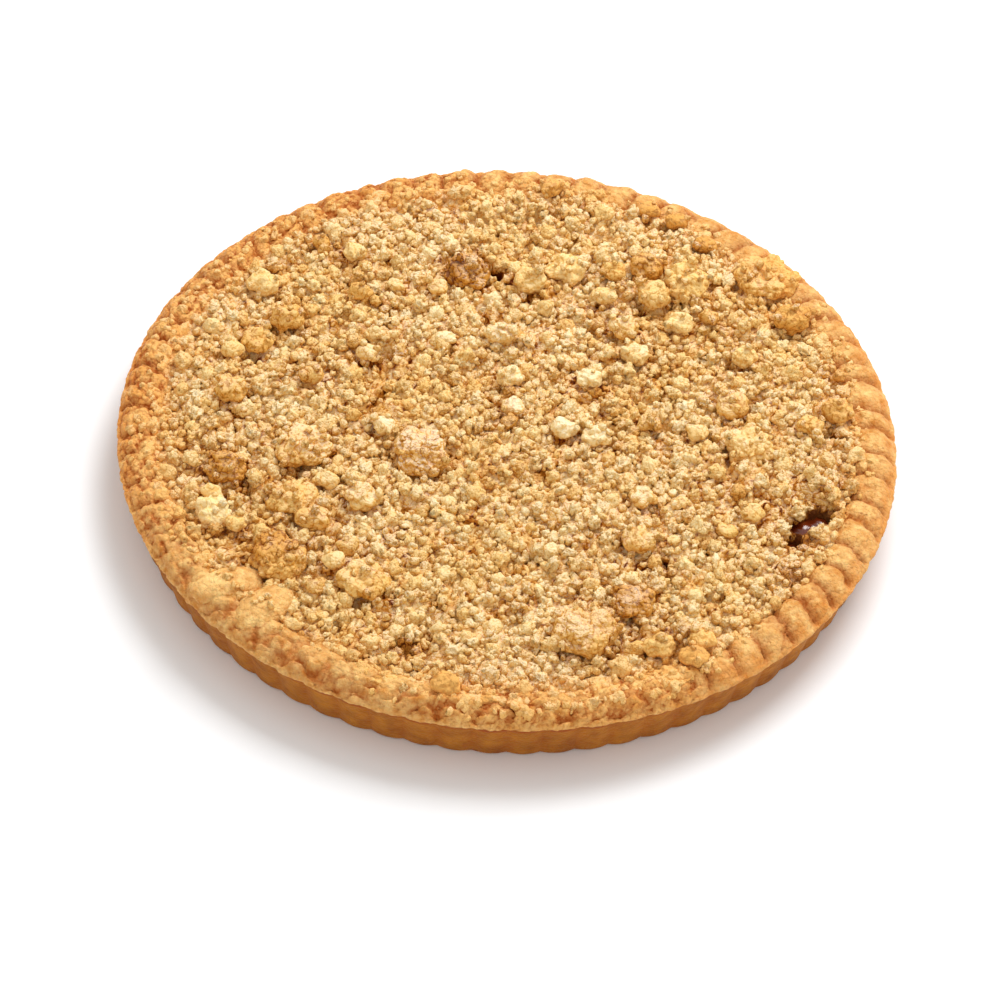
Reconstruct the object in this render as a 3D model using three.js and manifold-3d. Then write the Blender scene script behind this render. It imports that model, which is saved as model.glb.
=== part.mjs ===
// A dutch apple pie, out of its tin: a shallow shortcrust shell with a fluted wall and a lobed rim,
// a layer of apple filling, a crumb topping, and the largest clumps of crumb lying on it.
// Millimetres, +Z up. The origin is on the ground under the middle of the rim, and the front is -Y.
import * as THREE from 'three';
import { mergeVertices } from 'three/addons/utils/BufferGeometryUtils.js';
import Module from 'manifold-3d';

// Shell
const RIM_RADIUS = 133.4;          // outermost edge of the lip
const WALL_TOP_RADIUS = 131.0;     // just under the lip
const BASE_RADIUS = 127.6;
const BASE_SHIFT = 2.0;            // the lip hangs over the base a little towards the front
const LIP_HEIGHT = 19.0;           // middle of the lip
const CREST_HEIGHT = 24.6;         // top of the lobes
const RIM_SLOPE = 2.0;             // the rim is this much higher at the front and lower at the back
const FLUTES = 70;
const STEPS_PER_FLUTE = 4;
const FLUTE_DEPTH = 1.2;
const CREASE_DEPTH = 1.6;          // between two lobes of the rim
const HOLLOW_RADIUS = 117.5;       // at the rim
const HOLLOW_FLOOR_RADIUS = 115.0;
const FLOOR_THICKNESS = 4.5;
const HOLLOW_SIDES = 56;
const LOBE_SHOULDER = 4.2;         // outer shoulder of the lobes, in from the rim
const LOBE_CREST = 10.2;           // their crest, in from the rim
const LOBE_FOOT = 15.2;            // their inner foot, in from the rim
const SHOULDER_DROP = 0.8;         // how far the shoulder is below the crest
const FOOT_DROP = 2.2;             // how far the foot is below the crest
const LIP_FLUTED = 0.7;            // the lip is less fluted than the wall
const LIP_UNDERSIDE = 1.4;         // the lip's profile, below its middle
const LIP_EDGE = 0.4;
const LIP_TOP = 1.1;               // and above it

// Filling and topping
const FILLING_HEIGHT = 16.5;
const CLEARANCE = 0.35;            // between two pieces that touch
const TOPPING_HEIGHT = 24.4;       // at its edge
const TOPPING_DOME = 1.6;          // more in the middle
const TOPPING_SWELL = 0.9;         // slow waves
const SMOOTH_BAND = { from: 205, to: 300, fade: 20, smooth: 0.85 };  // of the rim, bearings in degrees
const GRAIN_BUMP = 1.7;            // height of one bump of crumb
const EDGE_BUMP = 1.5;             // thickness of the crumb where it lies on the rim
const BED_RINGS = 18;              // bumps from the middle to the edge
const CLUMP_SINK = 5.0;            // how deep a clump sits in the bed

// Where the crumb reaches out over the rim, bearings in degrees and millimetres.
const SPILLS = [
  { from: 252, to: 306, fade: 14, reach: 8.5 },
  { from: 150, to: 200, fade: 20, reach: 3.5 },
  { from: 60, to: 120, fade: 20, reach: 3.0 },
];

// The waver of the crumb's edge: waves round the pie, where they start and how deep they are.
const EDGE_WAVES = [
  { count: 13, phase: 1, depth: 0.9 },
  { count: 29, phase: 0, depth: 0.7 },
  { count: 47, phase: 2, depth: 0.5 },
];

// How uneven a lump is, as a share of its radius.
const CLUMP_UNEVEN = 0.3;
const NUGGET_UNEVEN = 0.25;
const FOLD_UNEVEN = 0.12;
const APPLE_UNEVEN = 0.2;
const LUMP_WAVES = 7;

// Where the random draws of each kind start.
const SEEDS = { bed: 11, folds: 61, apples: 81, clumps: 101, nuggets: 201 };

// The largest clumps: place, width, depth, height above the bed and colour.
const CLUMPS = [
  { x: 87, y: 81, width: 25, depth: 17, rise: 5.5, turn: -25, colour: 0xe6b36c },
  { x: 29, y: -95, width: 22, depth: 19, rise: 9.0, turn: 10, colour: 0xe0b88a },
  { x: -29, y: -16, width: 17, depth: 19, rise: 7.5, turn: 20, colour: 0xcf9f66 },
  { x: -69, y: -16, width: 19, depth: 17, rise: 6.5, turn: 0, colour: 0xdcb27c },
  { x: -74, y: -68, width: 19, depth: 19, rise: 6.5, turn: 30, colour: 0xcfa66c },
  { x: -71, y: -41, width: 17, depth: 15, rise: 6.0, turn: 0, colour: 0xdfb273 },
  { x: 82, y: -2, width: 17, depth: 15, rise: 6.0, turn: -15, colour: 0xe4bc80 },
  { x: -18, y: 74, width: 16, depth: 14, rise: 6.0, turn: 0, colour: 0xc08a55 },
  { x: -45, y: -76, width: 17, depth: 15, rise: 5.0, turn: 15, colour: 0xdfb576 },
  { x: 58, y: 74, width: 13, depth: 16, rise: 6.0, turn: 0, colour: 0xe8c88a },
  { x: -97, y: -47, width: 12, depth: 13, rise: 5.5, turn: 0, colour: 0xf3dfa5 },
  { x: 45, y: -79, width: 14, depth: 12, rise: 5.5, turn: 30, colour: 0xe0ba90 },
  { x: 16, y: 78, width: 14, depth: 12, rise: 5.0, turn: 0, colour: 0xeac587 },
  { x: -94, y: -28, width: 14, depth: 13, rise: 5.0, turn: 0, colour: 0xd2a061 },
];

// Lesser clumps, fused to the bed: place and size.
const NUGGETS = [
  [4, 71, 11], [45, 80, 11.5], [48, 66, 12], [33, 78, 9], [96, 60, 13], [112, 16, 11], [76, 16, 11],
  [80, 40, 9], [38, 50, 11], [42, 37, 10], [27, 24, 9], [-88, 62, 11], [-78, 45, 11.5], [-88, 33, 11],
  [-5, 43, 10], [0, 22, 9], [-95, 7, 11.5], [-63, -50, 11], [-47, -40, 11.5], [19, -2, 9],
  [30, -4, 10], [47, -31, 9], [46, -51, 11], [-15, -120, 10], [54, -97, 10], [67, -98, 10],
];

// Smooth folds of dough on the rim at the front left: place, width, depth and turn.
const FOLD_HEIGHT = 7;
const FOLDS = [
  { x: -89, y: -82, width: 19, depth: 10, turn: 20 },
  { x: -78, y: -88, width: 16, depth: 11, turn: 50 },
];

// The gap in the crumb that shows the filling, with the pieces of apple in it.
const GAP = { x: 101, y: -34, length: 17, width: 11, turn: 20, taper: 0.84, sides: 12 };
const APPLE_CHUNKS = [
  { x: 97.6, y: -35.1, size: 6.5, rise: 2.4 },
  { x: 104, y: -32.9, size: 5.5, rise: 1.6 },
];

// Colour and roughness of what is not a clump, and roughness of the clumps.
const CRUST = [0xd99f57, 0.75];
const FILLING = [0x70310f, 0.3];
const CRUMB = [0xddb071, 0.9];
const CLUMP_ROUGHNESS = 0.9;

const wasm = await Module();
wasm.setup();

// The same draws every time.
function randomFrom(seed) {
  let state = seed;
  return () => {
    state = (state + 0x6d2b79f5) | 0;
    let mixed = Math.imul(state ^ (state >>> 15), 1 | state);
    mixed = (mixed + Math.imul(mixed ^ (mixed >>> 7), 61 | mixed)) ^ mixed;
    return ((mixed ^ (mixed >>> 14)) >>> 0) / 4294967296;
  };
}

function solidFrom(points, faces) {
  return new wasm.Manifold(new wasm.Mesh({
    numProp: 3,
    vertProperties: Float32Array.from(points.flatMap((point) => point.toArray())),
    triVerts: Uint32Array.from(faces),
  }));
}

function solidOf(geometry) {
  geometry.deleteAttribute('normal');
  geometry.deleteAttribute('uv');
  const merged = mergeVertices(geometry, 1e-4);
  return new wasm.Manifold(new wasm.Mesh({
    numProp: 3,
    vertProperties: Float32Array.from(merged.attributes.position.array),
    triVerts: Uint32Array.from(merged.index.array),
  }));
}

function meshOf(name, solid, colour, roughness) {
  const { vertProperties, triVerts } = solid.getMesh();
  const geometry = new THREE.BufferGeometry();
  geometry.setAttribute('position', new THREE.BufferAttribute(vertProperties, 3));
  geometry.setIndex(new THREE.BufferAttribute(triVerts, 1));
  geometry.computeVertexNormals();
  const material = new THREE.MeshStandardMaterial({ color: colour, roughness, metalness: 0 });
  const mesh = new THREE.Mesh(geometry, material);
  mesh.name = name;
  return mesh;
}

// A closed body from rings of equal count, listed from the underside outwards, up and back in.
function ringBody(rings) {
  const count = rings[0].length;
  const last = rings.length - 1;
  const middle = (ring) => {
    const sum = ring.reduce((total, point) => total.add(point), new THREE.Vector3());
    return sum.divideScalar(count);
  };
  const points = [middle(rings[0]), ...rings.flat(), middle(rings[last])];
  const at = (ring, i) => 1 + ring * count + (i % count);
  const faces = [];
  for (let i = 0; i < count; i++) {
    faces.push(0, at(0, i + 1), at(0, i));
    faces.push(points.length - 1, at(last, i), at(last, i + 1));
    for (let ring = 0; ring < last; ring++) {
      faces.push(at(ring, i), at(ring, i + 1), at(ring + 1, i));
      faces.push(at(ring + 1, i), at(ring, i + 1), at(ring + 1, i + 1));
    }
  }
  return solidFrom(points, faces);
}

// 1 between two bearings, fading to 0 over the given width; degrees, counter-clockwise from +X.
function between(angle, from, to, fade) {
  const middle = (from + to) / 2;
  const away = Math.abs(((THREE.MathUtils.radToDeg(angle) - middle + 540) % 360) - 180);
  return 1 - THREE.MathUtils.smoothstep(away, (to - from) / 2 - fade / 2, (to - from) / 2 + fade / 2);
}

// How lobed the rim is: hardly where the crumb and the smooth band of dough cover it at the front.
function lobed(angle) {
  return 1 - SMOOTH_BAND.smooth * between(angle, SMOOTH_BAND.from, SMOOTH_BAND.to, SMOOTH_BAND.fade);
}

function rimLift(angle) {
  return -RIM_SLOPE * Math.sin(angle);
}

// The shell's outer outline at a bearing, from the base to the inner foot of the lobes.
function shellSection(angle, fluted) {
  const step = ((angle * FLUTES) / (2 * Math.PI)) % 1;
  const cusp = fluted ? (2 * step - 1) ** 2 : 0;      // 1 between two flutes, 0 on their crowns
  const crease = cusp * lobed(angle);
  const lift = rimLift(angle);
  const wallDip = FLUTE_DEPTH * cusp;
  const lipDip = LIP_FLUTED * wallDip;
  const creaseDip = CREASE_DEPTH * crease;
  return [
    [BASE_RADIUS - wallDip, 0],
    [WALL_TOP_RADIUS - wallDip, LIP_HEIGHT - LIP_UNDERSIDE + lift],
    [RIM_RADIUS - 0.2 - lipDip, LIP_HEIGHT - LIP_EDGE + lift],
    [RIM_RADIUS - lipDip, LIP_HEIGHT + LIP_TOP + lift],
    [RIM_RADIUS - LOBE_SHOULDER - crease, CREST_HEIGHT - SHOULDER_DROP - creaseDip + lift],
    [RIM_RADIUS - LOBE_CREST, CREST_HEIGHT - creaseDip + lift],
    [RIM_RADIUS - LOBE_FOOT, CREST_HEIGHT - FOOT_DROP - 0.5 * creaseDip + lift],
  ];
}

function shellOuter(steps, fluted, growth) {
  const rings = Array.from(shellSection(0, fluted), () => []);
  for (let i = 0; i < steps; i++) {
    const angle = (2 * Math.PI * i) / steps;
    shellSection(angle, fluted).forEach(([radius, height], ring) => {
      const shift = BASE_SHIFT * Math.max(0, 1 - height / LIP_HEIGHT);
      const reach = radius + growth;
      const level = height > 0 ? height + growth : -growth;
      rings[ring].push(new THREE.Vector3(reach * Math.cos(angle), reach * Math.sin(angle) + shift, level));
    });
  }
  return ringBody(rings);
}

// What is taken out of the shell for the filling, or with growth below 0 what is left clear of its wall.
function shellHollow(growth) {
  const profile = [
    [0, FLOOR_THICKNESS - growth],
    [HOLLOW_FLOOR_RADIUS + growth, FLOOR_THICKNESS - growth],
    [HOLLOW_RADIUS + growth, CREST_HEIGHT - 3],
    [HOLLOW_RADIUS + 1 + growth, CREST_HEIGHT + 10],
    [0, CREST_HEIGHT + 10],
  ];
  return latheBody(profile, HOLLOW_SIDES);
}

function latheBody(profile, segments) {
  const outline = profile.map(([radius, height]) => new THREE.Vector2(radius, height));
  return solidOf(new THREE.LatheGeometry(outline, segments).rotateX(Math.PI / 2));
}

// A ball of 32, 80 or 180 faces to make a lump from, by how wide the lump is.
function ballFor(width) {
  if (width < 12) return new THREE.OctahedronGeometry(0.5, 1);
  return new THREE.IcosahedronGeometry(0.5, width < 18 ? 1 : 2);
}

// A rounded uneven lump of the given size about its own middle.
function lumpBody(size, geometry, uneven, seed) {
  const random = randomFrom(seed);
  const waves = Array.from({ length: LUMP_WAVES }, () => ({
    way: new THREE.Vector3(random() - 0.5, random() - 0.5, random() - 0.5).normalize(),
    pitch: 4.4 + 6.4 * random(),
    phase: 2 * Math.PI * random(),
  }));
  const swellAt = (point) => waves.reduce(
    (sum, wave) => sum + Math.sin(wave.pitch * point.dot(wave.way) + wave.phase) / LUMP_WAVES,
    0,
  );
  const position = geometry.attributes.position;
  const point = new THREE.Vector3();
  for (let i = 0; i < position.count; i++) {
    point.fromBufferAttribute(position, i).normalize();
    point.multiplyScalar(0.5 * (1 + uneven * swellAt(point))).multiply(size);
    position.setXYZ(i, point.x, point.y, point.z);
  }
  return solidOf(geometry);
}

// The topping's own level, without its bumps.
function toppingLevel(x, y) {
  const far = Math.hypot(x, y) / HOLLOW_RADIUS;
  const broad = Math.sin(x / 17 + 1.3) * Math.cos(y / 21 - 0.4);
  const diagonal = 0.7 * Math.sin((x + y) / 11) * Math.sin((x - y) / 14);
  const slope = (RIM_SLOPE * y) / RIM_RADIUS;
  return TOPPING_HEIGHT + TOPPING_DOME * (1 - far * far) + TOPPING_SWELL * (broad + diagonal) - slope;
}

// How far the crumb reaches: to the foot of the lobes, and where it has spilled, out over the rim.
function toppingReach(angle) {
  let reach = HOLLOW_RADIUS + 1;
  SPILLS.forEach((spill) => { reach += spill.reach * between(angle, spill.from, spill.to, spill.fade); });
  EDGE_WAVES.forEach(({ count, phase, depth }) => { reach += depth * Math.sin(count * angle + phase); });
  return reach;
}

// 0 up to a start and 1 from an end on, straight between them.
function climb(value, start, end) {
  return THREE.MathUtils.clamp((value - start) / (end - start), 0, 1);
}

// The rim's own level under crumb that lies on it.
function rimLevel(radius, angle) {
  const rise = climb(radius, RIM_RADIUS - LOBE_FOOT, RIM_RADIUS - LOBE_CREST);
  const fall = climb(radius, RIM_RADIUS - LOBE_CREST, RIM_RADIUS - LOBE_SHOULDER);
  return CREST_HEIGHT - FOOT_DROP * (1 - rise) - SHOULDER_DROP * fall + rimLift(angle);
}

// The bed of crumb before anything is cut from it: rings of bumps, each ring six bumps longer.
function toppingBody() {
  const random = randomFrom(SEEDS.bed);
  const bottom = FILLING_HEIGHT + CLEARANCE;
  const points = [new THREE.Vector3(0, 0, toppingLevel(0, 0))];
  const ringStart = [0];
  for (let ring = 1; ring <= BED_RINGS; ring++) {
    ringStart.push(points.length);
    const edge = ring === BED_RINGS;
    for (let i = 0; i < 6 * ring; i++) {
      const jitter = edge ? 0 : 0.5 * (random() - 0.5);
      const angle = (2 * Math.PI * (i + jitter)) / (6 * ring);
      const radius = (toppingReach(angle) * (ring + jitter)) / BED_RINGS;
      const x = radius * Math.cos(angle);
      const y = radius * Math.sin(angle);
      const bump = GRAIN_BUMP * (2 * random() - 1);
      const level = toppingLevel(x, y) + bump;
      const onRim = radius > HOLLOW_RADIUS ? rimLevel(radius, angle) + EDGE_BUMP + 0.5 * bump : 0;
      points.push(new THREE.Vector3(x, y, Math.max(level, onRim)));
    }
  }
  const faces = [];
  for (let ring = 1; ring <= BED_RINGS; ring++) {
    const outer = (i) => ringStart[ring] + (i % (6 * ring));
    const inner = (i) => (ring === 1 ? 0 : ringStart[ring - 1] + (i % (6 * (ring - 1))));
    for (let side = 0; side < 6; side++) {
      for (let i = 0; i < ring; i++) {
        const out = side * ring + i;
        const into = side * (ring - 1) + i;
        faces.push(inner(into), outer(out), outer(out + 1));
        if (i < ring - 1) faces.push(inner(into), outer(out + 1), inner(into + 1));
      }
    }
  }
  const edgeCount = 6 * BED_RINGS;
  const edgeStart = ringStart[BED_RINGS];
  const footStart = points.length;
  for (let i = 0; i < edgeCount; i++) points.push(points[edgeStart + i].clone().setZ(bottom));
  const under = points.push(new THREE.Vector3(0, 0, bottom)) - 1;
  for (let i = 0; i < edgeCount; i++) {
    const next = (i + 1) % edgeCount;
    faces.push(footStart + i, footStart + next, edgeStart + i);
    faces.push(edgeStart + i, footStart + next, edgeStart + next);
    faces.push(under, footStart + next, footStart + i);
  }
  return solidFrom(points, faces);
}

// A clump half sunk in the bed; grown is the extra all round that its socket leaves.
function clumpBody({ x, y, width, depth, rise, turn }, seed, grown) {
  const size = new THREE.Vector3(width + grown, depth + grown, rise + CLUMP_SINK + grown);
  const middle = toppingLevel(x, y) + (rise - CLUMP_SINK) / 2;
  const lump = lumpBody(size, ballFor(Math.max(width, depth)), CLUMP_UNEVEN, seed);
  return lump.rotate([0, 0, turn]).translate([x, y, middle]);
}

function nuggetBody([x, y, size], seed) {
  const box = new THREE.Vector3(size, size * 0.95, size * 0.8);
  const middle = toppingLevel(x, y) + 0.12 * size;
  return lumpBody(box, ballFor(size), NUGGET_UNEVEN, seed).translate([x, y, middle]);
}

function foldBody({ x, y, width, depth, turn }, seed, grown) {
  const size = new THREE.Vector3(width + grown, depth + grown, FOLD_HEIGHT + grown);
  const level = rimLevel(Math.hypot(x, y), Math.atan2(y, x)) - 1;
  const lump = lumpBody(size, ballFor(depth + 2), FOLD_UNEVEN, seed);
  return lump.rotate([0, 0, turn]).translate([x, y, level]);
}

function gapBody() {
  const shaft = new THREE.CylinderGeometry(0.5, 0.5 * GAP.taper, 2 * CREST_HEIGHT, GAP.sides);
  shaft.rotateX(Math.PI / 2);
  shaft.scale(GAP.length, GAP.width, 1);
  return solidOf(shaft).rotate([0, 0, GAP.turn]).translate([GAP.x, GAP.y, CREST_HEIGHT]);
}

function appleBody({ x, y, size, rise }, seed) {
  const box = new THREE.Vector3(size, size * 0.8, 2 * rise + 3);
  return lumpBody(box, ballFor(size), APPLE_UNEVEN, seed).translate([x, y, FILLING_HEIGHT - 1.5]);
}

const pie = new THREE.Group();

// Shell
let shell = shellOuter(FLUTES * STEPS_PER_FLUTE, true, 0);
FOLDS.forEach((fold, i) => { shell = shell.add(foldBody(fold, SEEDS.folds + i, 0)); });
shell = shell.subtract(shellHollow(0));
pie.add(meshOf('crust', shell, ...CRUST));

// What every other piece keeps clear of
let shellClear = shellOuter(HOLLOW_SIDES, false, 1.5 * CLEARANCE);
FOLDS.forEach((fold, i) => {
  shellClear = shellClear.add(foldBody(fold, SEEDS.folds + i, 2.5 * CLEARANCE));
});
shellClear = shellClear.subtract(shellHollow(-CLEARANCE));

// Filling
const fillingProfile = [
  [0, FLOOR_THICKNESS + CLEARANCE],
  [HOLLOW_FLOOR_RADIUS - 1.5 * CLEARANCE, FLOOR_THICKNESS + CLEARANCE],
  [HOLLOW_RADIUS - 3 * CLEARANCE, FILLING_HEIGHT],
  [0, FILLING_HEIGHT],
];
let filling = latheBody(fillingProfile, HOLLOW_SIDES);
APPLE_CHUNKS.forEach((chunk, i) => { filling = filling.add(appleBody(chunk, SEEDS.apples + i)); });
pie.add(meshOf('filling', filling, ...FILLING));

// Topping
let topping = toppingBody();
NUGGETS.forEach((nugget, i) => { topping = topping.add(nuggetBody(nugget, SEEDS.nuggets + i)); });
CLUMPS.forEach((clump, i) => {
  topping = topping.subtract(clumpBody(clump, SEEDS.clumps + i, 3 * CLEARANCE));
});
topping = topping.subtract(shellClear).subtract(gapBody());
pie.add(meshOf('crumb_topping', topping, ...CRUMB));

// Clumps
CLUMPS.forEach((clump, i) => {
  const name = `clump_${String(i + 1).padStart(2, '0')}`;
  const body = clumpBody(clump, SEEDS.clumps + i, 0).subtract(shellClear);
  pie.add(meshOf(name, body, clump.colour, CLUMP_ROUGHNESS));
});

export default pie;
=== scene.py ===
"""A dutch apple pie out of its tin: fluted shortcrust, apple filling and a coarse crumb topping."""
import math

import bmesh
import bpy
import numpy as np
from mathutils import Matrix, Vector, noise


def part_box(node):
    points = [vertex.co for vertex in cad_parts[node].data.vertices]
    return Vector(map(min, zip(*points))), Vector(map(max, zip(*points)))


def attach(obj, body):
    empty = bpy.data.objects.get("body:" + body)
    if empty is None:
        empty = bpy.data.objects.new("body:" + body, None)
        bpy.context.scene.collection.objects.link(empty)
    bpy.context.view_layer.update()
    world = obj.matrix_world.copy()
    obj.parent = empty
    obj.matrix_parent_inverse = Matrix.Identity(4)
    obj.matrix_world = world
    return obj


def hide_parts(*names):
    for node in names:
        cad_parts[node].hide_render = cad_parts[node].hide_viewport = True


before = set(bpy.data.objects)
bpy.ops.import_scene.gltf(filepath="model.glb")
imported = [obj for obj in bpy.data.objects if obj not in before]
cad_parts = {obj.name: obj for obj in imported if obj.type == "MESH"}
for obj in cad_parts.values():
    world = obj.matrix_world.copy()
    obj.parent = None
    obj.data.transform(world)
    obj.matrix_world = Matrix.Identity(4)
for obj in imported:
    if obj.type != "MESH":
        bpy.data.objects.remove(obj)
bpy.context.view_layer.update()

# ---------------------------------------------------------------------------------------------
# Shortcrust shell. One piece of butter dough, pressed into a fluted tin and baked golden brown:
# the wall took the tin's flutes, the rim was pinched into lobes, and a thin lip crept over the
# tin's edge. Here a plain section is turned, and Geometry Nodes press the flutes and the lobes.
# ---------------------------------------------------------------------------------------------
MM = 0.001
RIM_RADIUS = 133.4           # this and all sizes below are in millimetres
BASE_RADIUS = 127.6
BASE_SHIFT = 2.0             # the lip hangs over the base towards the front
LIP_HEIGHT = 19.0
CREST_HEIGHT = 24.6
RIM_SLOPE = 2.0              # the rim is this much higher at the front and lower at the back
HOLLOW_RADIUS = 117.5
FLOOR_THICKNESS = 4.5
FLUTES = 70.0
FLUTE_DEPTH = 1.1
CREASE_DEPTH = 2.4
SECTION_STEPS = 980          # round the rim
FOLDS = [                    # smooth folds of dough at the front left: x, y, width, depth, turn
    (-90, -80, 25, 14, 20),
    (-77, -89, 24, 15, 50),
]
FOLD_HEIGHT = 9.0
FOLD_RISE = 3.0              # of a fold's top above the crest


class Field:
    """A value in a node tree. Arithmetic on it adds Math nodes, so that a formula reads as one."""

    def __init__(self, tree, socket):
        self.tree = tree
        self.socket = socket

    def math(self, operation, *values):
        node = self.tree.nodes.new("ShaderNodeMath")
        node.operation = operation
        for slot, value in zip(node.inputs, (self, *values)):
            plug(self.tree, value, slot)
        return Field(self.tree, node.outputs[0])

    def __add__(self, other):
        return self.math("ADD", other)

    def __sub__(self, other):
        return self.math("SUBTRACT", other)

    def __rsub__(self, other):
        return self.math("MULTIPLY", -1.0).math("ADD", other)

    def __mul__(self, other):
        return self.math("MULTIPLY", other)

    def __truediv__(self, other):
        return self.math("DIVIDE", other)

    def __pow__(self, other):
        return self.math("POWER", other)

    def __abs__(self):
        return self.math("ABSOLUTE")

    __radd__ = __add__
    __rmul__ = __mul__


def plug(tree, value, slot):
    """Links a field to a node's input, or sets the input to a plain value."""
    if isinstance(value, Field):
        tree.links.new(value.socket, slot)
    else:
        slot.default_value = value


def fade(value, start, end, low=0.0, high=1.0):
    """low before start and high after end, with a smooth step between."""
    node = value.tree.nodes.new("ShaderNodeMapRange")
    node.interpolation_type = "SMOOTHSTEP"
    for name, number in (("From Min", start), ("From Max", end), ("To Min", low), ("To Max", high)):
        node.inputs[name].default_value = number
    plug(value.tree, value, node.inputs["Value"])
    return Field(value.tree, node.outputs["Result"])


def split(point):
    """The x, y and z of a vector field."""
    node = point.tree.nodes.new("ShaderNodeSeparateXYZ")
    plug(point.tree, point, node.inputs[0])
    return [Field(point.tree, socket) for socket in node.outputs]


def join(tree, x, y, z):
    """A vector field of three numbers or fields."""
    node = tree.nodes.new("ShaderNodeCombineXYZ")
    for slot, value in zip(node.inputs, (x, y, z)):
        plug(tree, value, slot)
    return Field(tree, node.outputs[0])


def vector_math(operation, first, second=None, factor=None):
    """A Vector Math node on first and, where the operation takes them, second or factor."""
    node = first.tree.nodes.new("ShaderNodeVectorMath")
    node.operation = operation
    plug(first.tree, first, node.inputs[0])
    if second is not None:
        plug(first.tree, second, node.inputs[1])
    if factor is not None:
        plug(first.tree, factor, node.inputs["Scale"])
    return Field(first.tree, node.outputs[0])


def cloud(point, size, detail=2.0, roughness=0.5):
    """Noise from about -1 to 1 whose blotches are size across."""
    node = point.tree.nodes.new("ShaderNodeTexNoise")
    node.inputs["Scale"].default_value = 1 / size
    node.inputs["Detail"].default_value = detail
    node.inputs["Roughness"].default_value = roughness
    plug(point.tree, point, node.inputs["Vector"])
    return Field(point.tree, node.outputs[0]) * 2 - 1


def drifted(point, size, amount):
    """A point moved about by up to amount, so that a pattern on it loses its evenness."""
    node = point.tree.nodes.new("ShaderNodeTexNoise")
    node.inputs["Scale"].default_value = 1 / size
    node.inputs["Detail"].default_value = 0.0
    plug(point.tree, point, node.inputs["Vector"])
    way = vector_math("SUBTRACT", Field(point.tree, node.outputs["Color"]), (0.5, 0.5, 0.5))
    return vector_math("ADD", point, vector_math("SCALE", way, factor=2 * amount))


def grains(point, size, randomness=1.0):
    """Packed round grains size across: 1 on a grain's top and 0 or less where grains meet."""
    node = point.tree.nodes.new("ShaderNodeTexVoronoi")
    node.inputs["Scale"].default_value = 1 / size
    node.inputs["Randomness"].default_value = randomness
    plug(point.tree, point, node.inputs["Vector"])
    distance = Field(point.tree, node.outputs["Distance"])
    return 1 - distance * distance * 2.2


def between(bearing, start, end, width):
    """1 between two bearings in degrees and 0 elsewhere, fading over width."""
    middle = (start + end) / 2
    away = abs((bearing - (middle - 540)).math("MODULO", 360.0) - 180)
    half = (end - start) / 2
    return fade(away, half + width / 2, half - width / 2)


def lobed(bearing):
    """How lobed the rim is: hardly along the front, where it is a flaky band."""
    return 1 - 0.85 * between(bearing, 205, 300, 20)


def crusted(bearing):
    """How thickly crumbs have baked onto the rim: at the left and the back, and along the front."""
    return between(bearing, 95, 205, 30) + 0.7 * between(bearing, 262, 302, 14)


def geometry_tree(name):
    """An empty Geometry Nodes group with its in and out nodes and the surface's point in mm."""
    tree = bpy.data.node_groups.new(name, "GeometryNodeTree")
    tree.interface.new_socket(name="Geometry", in_out="INPUT", socket_type="NodeSocketGeometry")
    tree.interface.new_socket(name="Geometry", in_out="OUTPUT", socket_type="NodeSocketGeometry")
    given = tree.nodes.new("NodeGroupInput")
    made = tree.nodes.new("NodeGroupOutput")
    position = Field(tree, tree.nodes.new("GeometryNodeInputPosition").outputs[0])
    return tree, given, made, vector_math("SCALE", position, factor=1 / MM)


def add_inputs(tree, given, **values):
    """Gives a Geometry Nodes group more inputs, named and with first values, and returns them."""
    kinds = {float: "NodeSocketFloat", int: "NodeSocketInt", Vector: "NodeSocketVector"}
    for key, value in values.items():
        socket = tree.interface.new_socket(
            name=key.replace("_", " "), in_out="INPUT", socket_type=kinds[type(value)])
        socket.default_value = value
    return [Field(tree, given.outputs[key.replace("_", " ")]) for key in values]


def chain(tree, geometry, kind, **settings):
    """Adds a node after geometry and returns it; settings are its properties."""
    node = tree.nodes.new(kind)
    for key, value in settings.items():
        setattr(node, key, value)
    tree.links.new(geometry, node.inputs[0])
    return node


def move_to(tree, geometry, place):
    """Moves each point to its place in mm."""
    node = chain(tree, geometry, "GeometryNodeSetPosition")
    plug(tree, vector_math("SCALE", place, factor=MM), node.inputs["Position"])
    return node.outputs[0]


def store(tree, geometry, name, value, **settings):
    """Stores a number under a name on the mesh."""
    node = chain(tree, geometry, "GeometryNodeStoreNamedAttribute", **settings)
    node.inputs["Name"].default_value = name
    plug(tree, value, node.inputs["Value"])
    return node.outputs[0]


def close_tree(tree, geometry, made, material):
    """Realizes instances, gives the material and ends the tree."""
    real = chain(tree, geometry, "GeometryNodeRealizeInstances")
    painted = chain(tree, real.outputs[0], "GeometryNodeSetMaterial")
    painted.inputs["Material"].default_value = material
    tree.links.new(painted.outputs[0], made.inputs[0])


def grow(name, base, tree, **inputs):
    """Runs a tree on a base mesh and returns the result as a plain mesh object."""
    holder = bpy.data.objects.new(name + "_holder", base)
    bpy.context.scene.collection.objects.link(holder)
    modifier = holder.modifiers.new("grow", "NODES")
    modifier.node_group = tree
    items = [item for item in tree.interface.items_tree if item.in_out == "INPUT"]
    sockets = {item.name: item.identifier for item in items}
    for key, value in inputs.items():
        modifier[sockets[key.replace("_", " ")]] = value
    graph = bpy.context.evaluated_depsgraph_get()
    mesh = bpy.data.meshes.new_from_object(holder.evaluated_get(graph))
    mesh.name = name
    bpy.data.objects.remove(holder)
    piece = bpy.data.objects.new(name, mesh)
    bpy.context.scene.collection.objects.link(piece)
    mesh.polygons.foreach_set("use_smooth", [True] * len(mesh.polygons))
    return piece


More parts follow.
